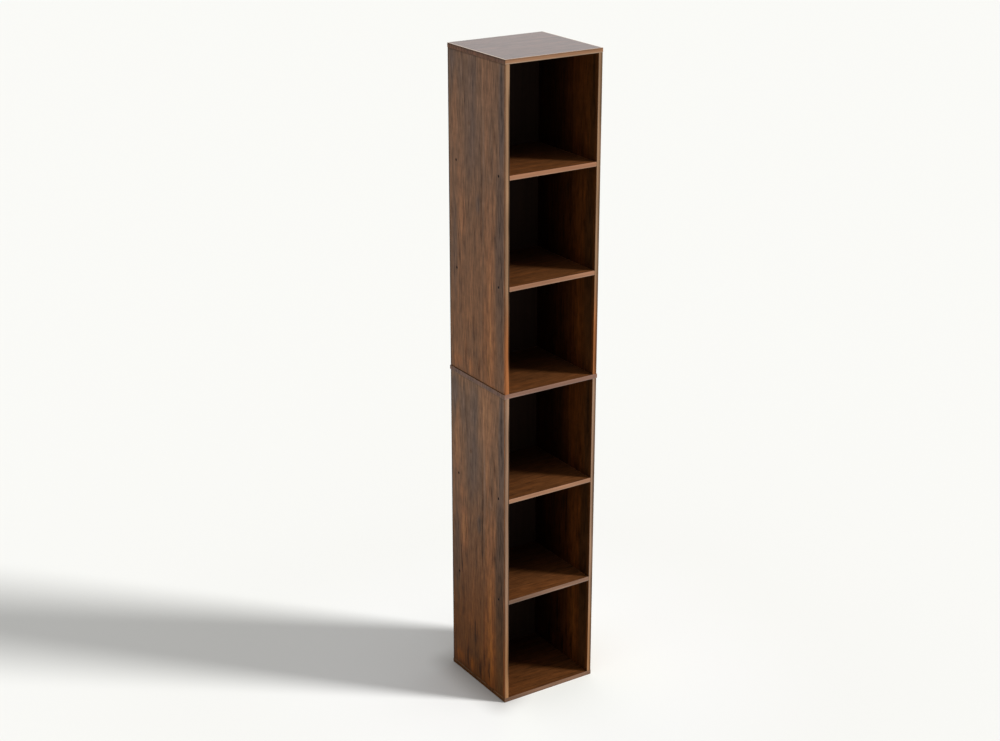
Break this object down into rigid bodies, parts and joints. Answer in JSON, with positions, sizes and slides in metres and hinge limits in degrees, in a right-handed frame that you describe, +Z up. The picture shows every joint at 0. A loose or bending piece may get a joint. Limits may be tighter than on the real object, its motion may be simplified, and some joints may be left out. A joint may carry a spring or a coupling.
{
  "type": "cube bookcase",
  "caption": "Tall narrow open-front bookcase in walnut-look board: stacked box halves with fixed cube compartments, closed back, and screw, cam and dowel joints.",
  "frame": {"origin": "centre of the footprint on the floor, at the underside of the bottom board", "axes": "+Z up; the open front faces -Y; +X is to the right of someone facing the open front"},
  "size_m": [0.297, 0.274, 1.8],
  "materials": {
    "walnut_foil_board": "particle board in satin walnut-print foil, lighter tan edge band on the front edges",
    "dark_hardboard": "3 mm hardboard, dark print inside, raw brown outside",
    "black_steel": "black zinc plating, satin",
    "bronzed_zinc": "brown-bronzed die casting, dull",
    "zinc_plated_steel": "zinc plated",
    "beech": "bare turned beech"
  },
  "bodies": {
    "root": {"top_board": "walnut_foil_board", "middle_board": "walnut_foil_board", "bottom_board": "walnut_foil_board", "lower_left_side": "walnut_foil_board", "lower_right_side": "walnut_foil_board", "upper_left_side": "walnut_foil_board", "upper_right_side": "walnut_foil_board", "lower_shelf_1": "walnut_foil_board", "lower_shelf_2": "walnut_foil_board", "upper_shelf_1": "walnut_foil_board", "upper_shelf_2": "walnut_foil_board", "lower_back_panel": "dark_hardboard", "upper_back_panel": "dark_hardboard", "lower_shelf_1_screw_left_front": "black_steel", "lower_shelf_1_screw_left_rear": "black_steel", "lower_shelf_1_screw_right_front": "black_steel", "lower_shelf_1_screw_right_rear": "black_steel", "lower_shelf_2_screw_left_front": "black_steel", "lower_shelf_2_screw_left_rear": "black_steel", "lower_shelf_2_screw_right_front": "black_steel", "lower_shelf_2_screw_right_rear": "black_steel", "upper_shelf_1_screw_left_front": "black_steel", "upper_shelf_1_screw_left_rear": "black_steel", "upper_shelf_1_screw_right_front": "black_steel", "upper_shelf_1_screw_right_rear": "black_steel", "upper_shelf_2_screw_left_front": "black_steel", "upper_shelf_2_screw_left_rear": "black_steel", "upper_shelf_2_screw_right_front": "black_steel", "upper_shelf_2_screw_right_rear": "black_steel", "base_screw_left_front": "black_steel", "base_screw_left_rear": "black_steel", "base_screw_right_front": "black_steel", "base_screw_right_rear": "black_steel", "top_cam_left_front": "bronzed_zinc", "top_cam_left_rear": "bronzed_zinc", "top_cam_right_front": "bronzed_zinc", "top_cam_right_rear": "bronzed_zinc", "middle_upper_cam_left_front": "bronzed_zinc", "middle_upper_cam_left_rear": "bronzed_zinc", "middle_upper_cam_right_front": "bronzed_zinc", "middle_upper_cam_right_rear": "bronzed_zinc", "middle_lower_cam_left_front": "bronzed_zinc", "middle_lower_cam_left_rear": "bronzed_zinc", "middle_lower_cam_right_front": "bronzed_zinc", "middle_lower_cam_right_rear": "bronzed_zinc", "top_bolt_left_front": "zinc_plated_steel", "top_bolt_left_rear": "zinc_plated_steel", "top_bolt_right_front": "zinc_plated_steel", "top_bolt_right_rear": "zinc_plated_steel", "middle_bolt_left_front": "zinc_plated_steel", "middle_bolt_left_rear": "zinc_plated_steel", "middle_bolt_right_front": "zinc_plated_steel", "middle_bolt_right_rear": "zinc_plated_steel", "top_dowel_left": "beech", "top_dowel_right": "beech", "middle_dowel_left": "beech", "middle_dowel_right": "beech", "bottom_dowel_left": "beech", "bottom_dowel_right": "beech"}
  },
  "joints": []
}
